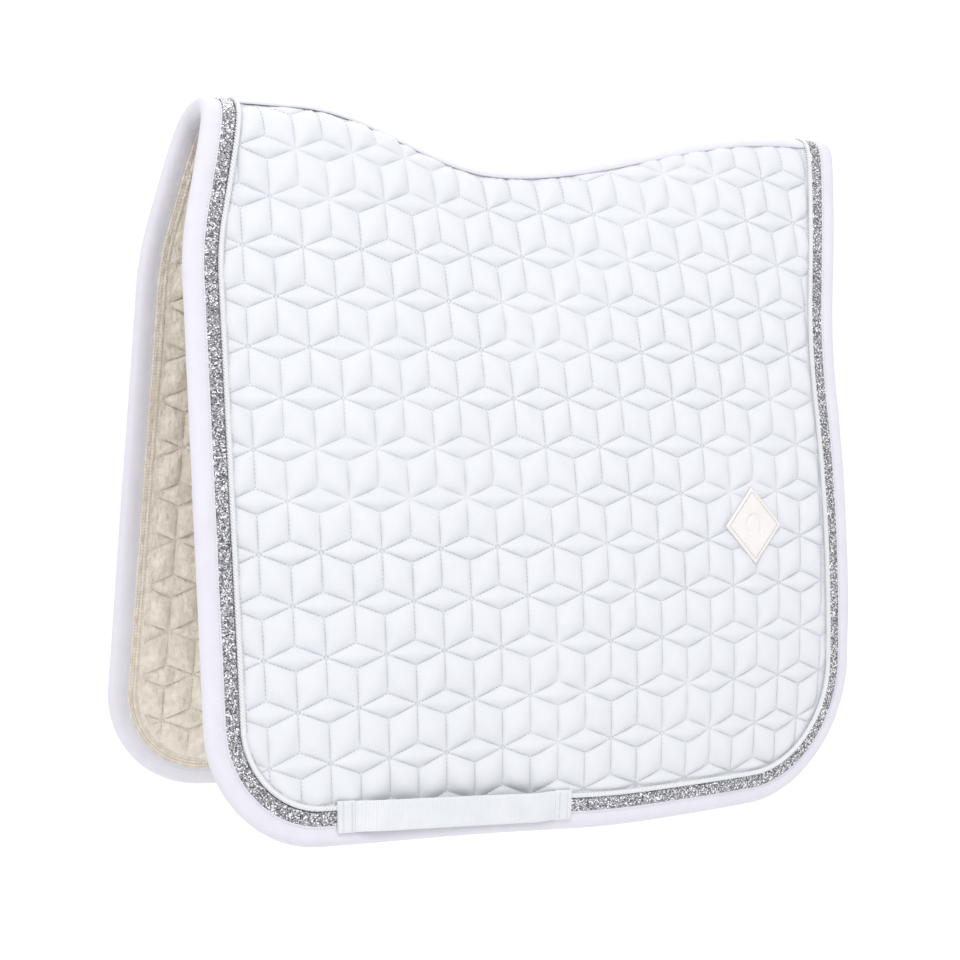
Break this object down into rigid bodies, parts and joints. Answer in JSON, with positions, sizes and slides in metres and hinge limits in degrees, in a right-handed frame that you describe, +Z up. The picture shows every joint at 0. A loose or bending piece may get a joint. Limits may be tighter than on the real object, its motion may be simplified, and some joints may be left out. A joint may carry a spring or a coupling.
{
  "type": "saddle pad",
  "caption": "Quilted saddle pad with a contoured spine, bound edges, braid and cord trim, girth keeper loops and two flaps that lift.",
  "frame": {"origin": "underside of the spine seam at the lowest point of the seat dip, where the pad rests on the horse's back", "axes": "+X to the rear along the spine, +Y to the horse's right, +Z up"},
  "size_m": [0.6086, 0.2992, 0.5584],
  "materials": {
    "shell_fabric": "fine cotton twill, cool white, quilted",
    "padding": "foam and wadding core",
    "lining_cotton": "cream cotton, crinkled by the quilting",
    "binding": "smooth matt tape, lavender white",
    "glitter_braid": "silver glitter ribbon",
    "cord": "twisted white satin cord",
    "webbing": "ribbed white webbing",
    "patch_leather": "smooth ivory, pearl sheen, embossed"
  },
  "bodies": {
    "spine": {"spine_outer_shell": "shell_fabric", "spine_padding": "padding", "spine_lining": "lining_cotton", "spine_binding": "binding", "spine_seam_tape": "binding", "withers_binding": "binding", "rear_binding": "binding", "withers_braid": "glitter_braid", "rear_braid": "glitter_braid", "withers_rope": "cord", "rear_rope": "cord"},
    "left_flap": {"left_outer_shell": "shell_fabric", "left_padding": "padding", "left_lining": "lining_cotton", "left_edge_binding": "binding", "left_edge_braid": "glitter_braid", "left_edge_rope": "cord", "left_girth_keeper": "webbing", "left_keeper_ends": "webbing", "left_emblem_patch": "patch_leather"},
    "right_flap": {"right_outer_shell": "shell_fabric", "right_padding": "padding", "right_lining": "lining_cotton", "right_edge_binding": "binding", "right_edge_braid": "glitter_braid", "right_edge_rope": "cord", "right_girth_keeper": "webbing", "right_keeper_ends": "webbing", "right_emblem_patch": "patch_leather"}
  },
  "joints": [
    {"name": "left_flap_fold", "type": "hinge", "parent": "spine", "child": "left_flap", "pos_m": [0, -0.057, -0.033], "axis": [-1, 0, 0], "range_deg": [-10, 78]},
    {"name": "right_flap_fold", "type": "hinge", "parent": "spine", "child": "right_flap", "pos_m": [0, 0.057, -0.033], "axis": [1, 0, 0], "range_deg": [-10, 78]}
  ]
}
